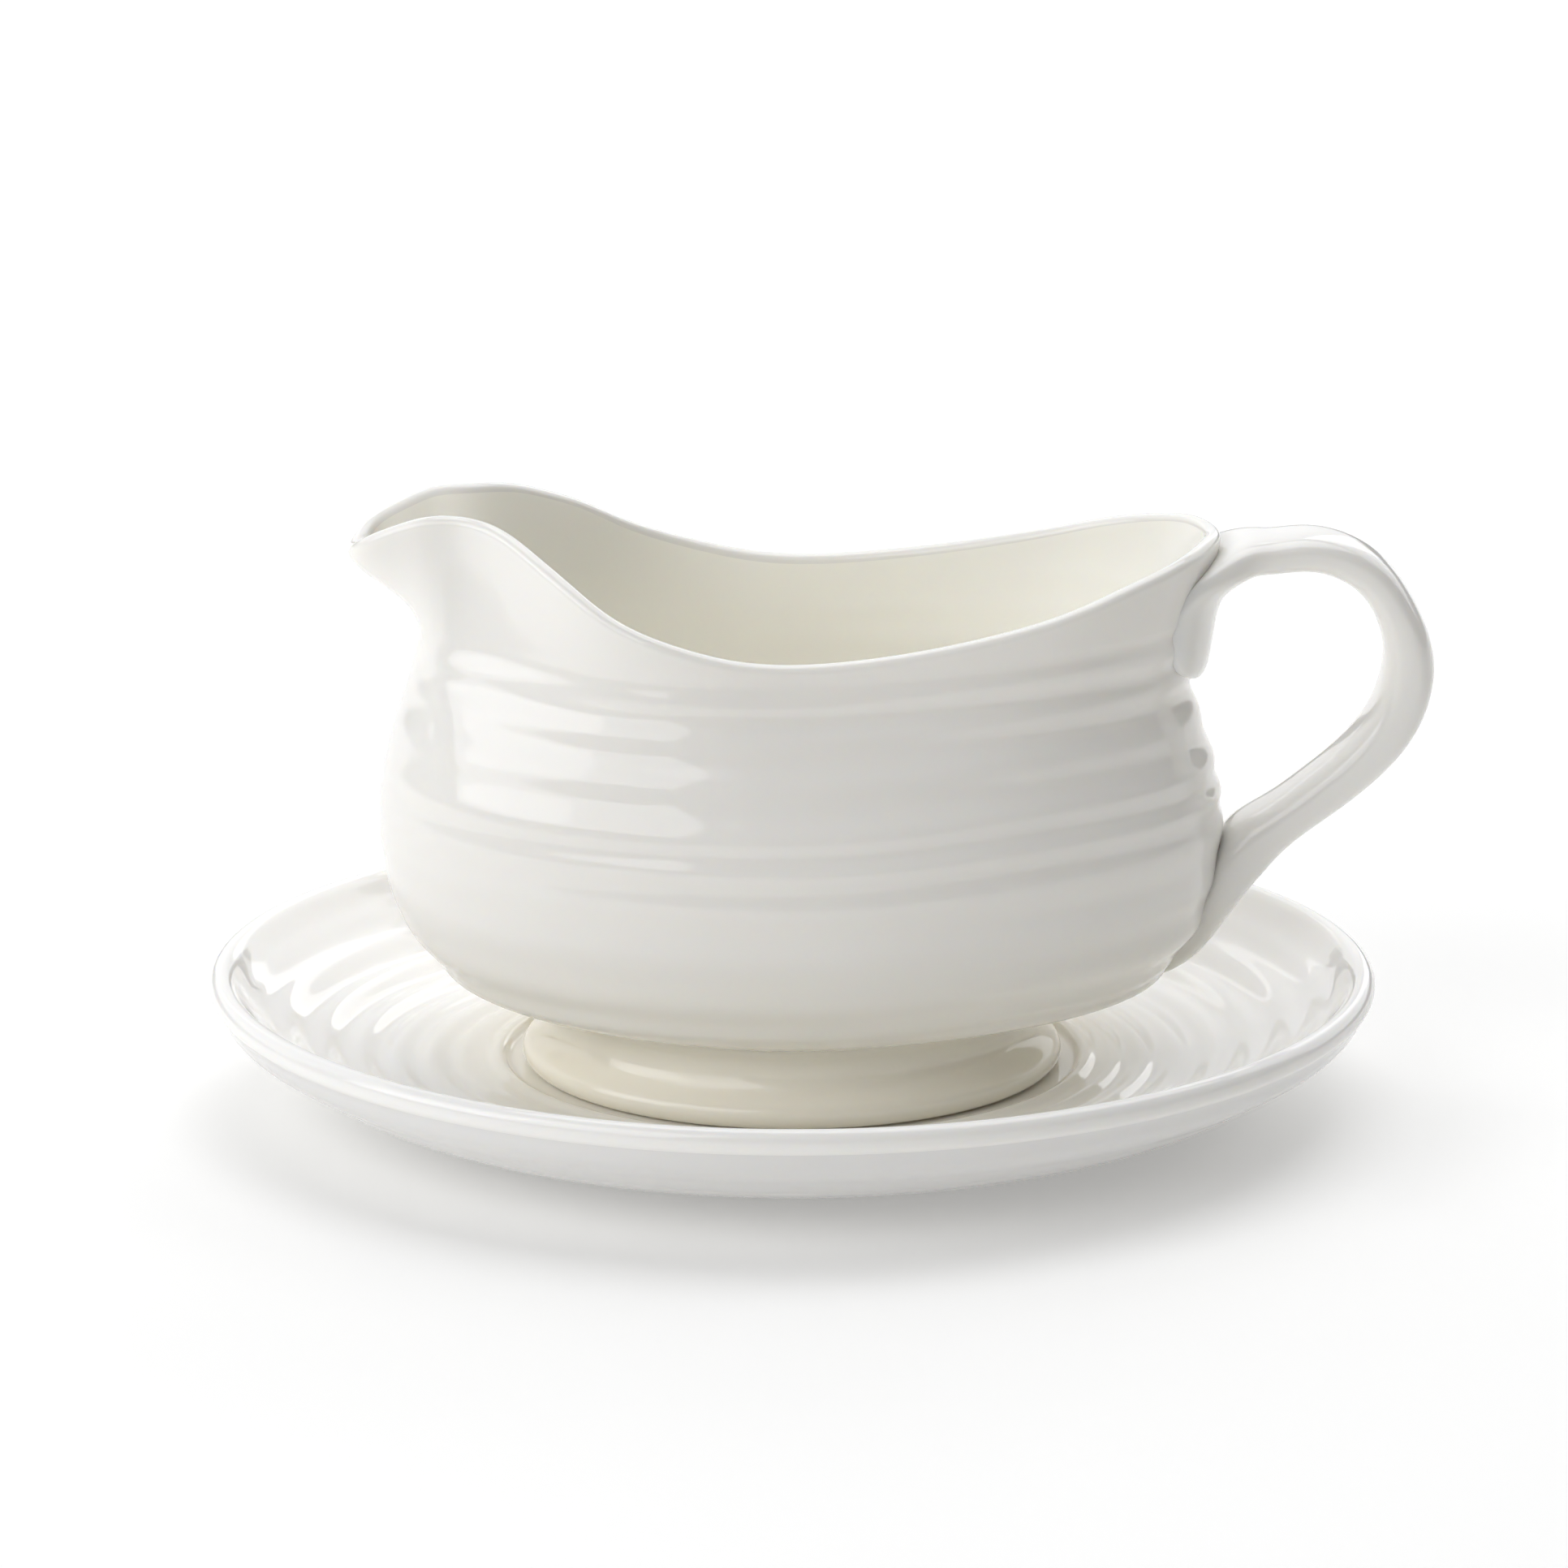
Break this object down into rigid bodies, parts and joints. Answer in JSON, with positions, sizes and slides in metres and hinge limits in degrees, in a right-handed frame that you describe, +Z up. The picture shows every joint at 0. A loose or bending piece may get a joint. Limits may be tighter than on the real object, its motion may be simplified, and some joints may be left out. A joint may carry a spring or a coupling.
{
  "type": "gravy boat with stand",
  "caption": "Oval footed sauce jug with pouring spout and strap handle, resting in the well of a rippled oval stand.",
  "frame": {"origin": "centre of the stand's foot ring, on the table plane", "axes": "+Z up; +X towards the handle, -X towards the spout; XZ is the plane of symmetry"},
  "size_m": [0.2405, 0.184, 0.1228],
  "materials": {
    "glazed_porcelain": "clear gloss glaze over white body"
  },
  "bodies": {
    "stand": {"stand_dish": "glazed_porcelain"},
    "boat": {"boat_bowl": "glazed_porcelain", "boat_foot": "glazed_porcelain", "boat_handle": "glazed_porcelain"}
  },
  "joints": [
    {"name": "boat_lift", "type": "slide", "parent": "stand", "child": "boat", "axis": [0, 0, 1], "range_m": [0, 0.08]}
  ]
}
